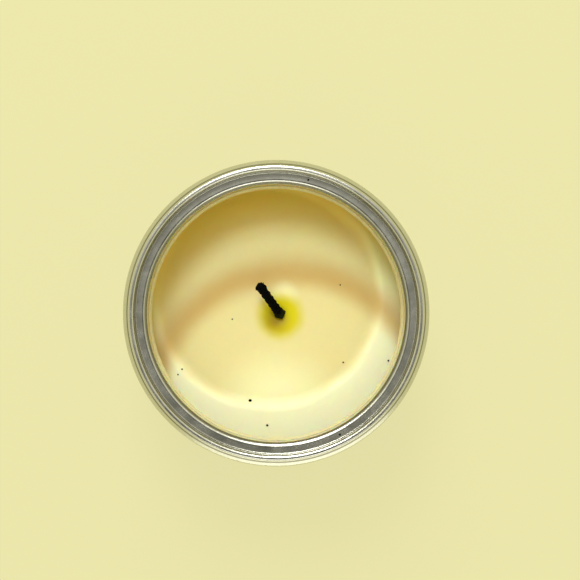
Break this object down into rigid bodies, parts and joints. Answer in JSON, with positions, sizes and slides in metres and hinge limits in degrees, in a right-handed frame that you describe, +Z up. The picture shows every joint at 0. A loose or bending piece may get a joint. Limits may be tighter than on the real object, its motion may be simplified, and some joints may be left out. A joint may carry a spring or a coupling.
{
  "type": "candle tin",
  "caption": "Part-burned candle of pale yellow wax in a round tinplate tin with a lever-lid mouth ring and a charred, leaning cotton wick.",
  "frame": {"origin": "centre of the base, on the surface that the tin stands on", "axes": "+Z up along the tin's axis; +Y towards the side that the wick leans to, +X to the right of it"},
  "size_m": [0.0786, 0.0786, 0.052],
  "materials": {
    "tinplate_wall": "bright tinplate, faint rolling lines",
    "tinplate_ring": "bright tinplate on the crest, matte on the ledge",
    "tinplate_end": "satin tinplate",
    "seam_compound": "matte",
    "wax": "smooth, translucent, satin",
    "cotton": "braided and waxed",
    "wick_paper": "waxed",
    "charred_cotton": "charred braid",
    "tab_steel": "tin plated",
    "adhesive_foam": "closed-cell foam",
    "soot": "dry soot"
  },
  "bodies": {
    "root": {"body_wall": "tinplate_wall", "mouth_ring": "tinplate_ring", "bottom_end": "tinplate_end", "top_seam_compound": "seam_compound", "bottom_seam_compound": "seam_compound", "wax_fill": "wax", "wick_braid": "cotton", "wick_core": "wick_paper", "wick_char": "charred_cotton", "wick_sustainer": "tab_steel", "wick_sticker": "adhesive_foam", "wax_crumb_1": "soot", "wax_crumb_2": "soot", "wax_crumb_3": "soot", "wax_crumb_4": "soot", "wax_crumb_5": "soot", "wax_crumb_6": "soot", "wax_crumb_7": "soot", "wax_crumb_8": "soot", "ledge_crumb_1": "soot", "ledge_crumb_2": "soot"}
  },
  "joints": []
}
